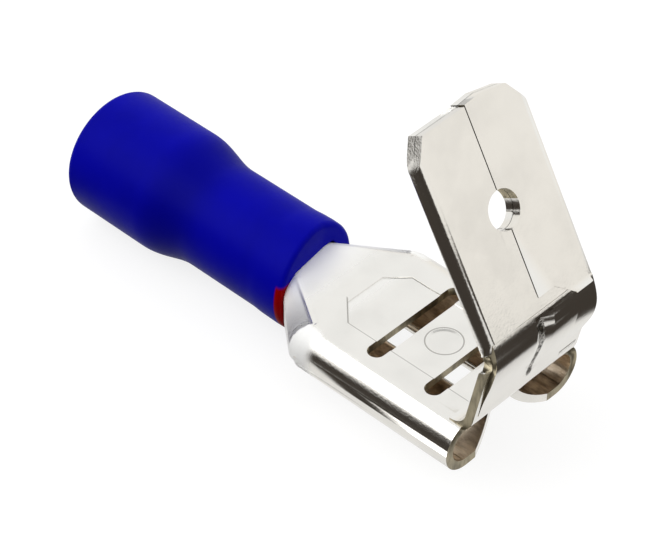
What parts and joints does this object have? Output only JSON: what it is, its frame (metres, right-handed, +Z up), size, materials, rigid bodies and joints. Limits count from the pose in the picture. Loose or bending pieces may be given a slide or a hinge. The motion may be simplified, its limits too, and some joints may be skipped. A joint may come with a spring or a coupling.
{
  "type": "female spade terminal",
  "caption": "Piggyback female spade terminal: rolled blade receptacle with a folded male tab leaning back over it, and an insulating sleeve on its crimp barrel.",
  "frame": {"origin": "bottom centre of the bounding box", "axes": "+X points out of the receptacle's mouth, along its length; +Y runs across the blade; +Z points up from the receptacle's roof to the tab"},
  "size_m": [0.0248, 0.008, 0.0164],
  "materials": {
    "tinned_brass": "bright tin plating",
    "blue_vinyl": "soft satin sheen"
  },
  "bodies": {
    "root": {"terminal": "tinned_brass", "insulating_sleeve": "blue_vinyl"}
  },
  "joints": []
}
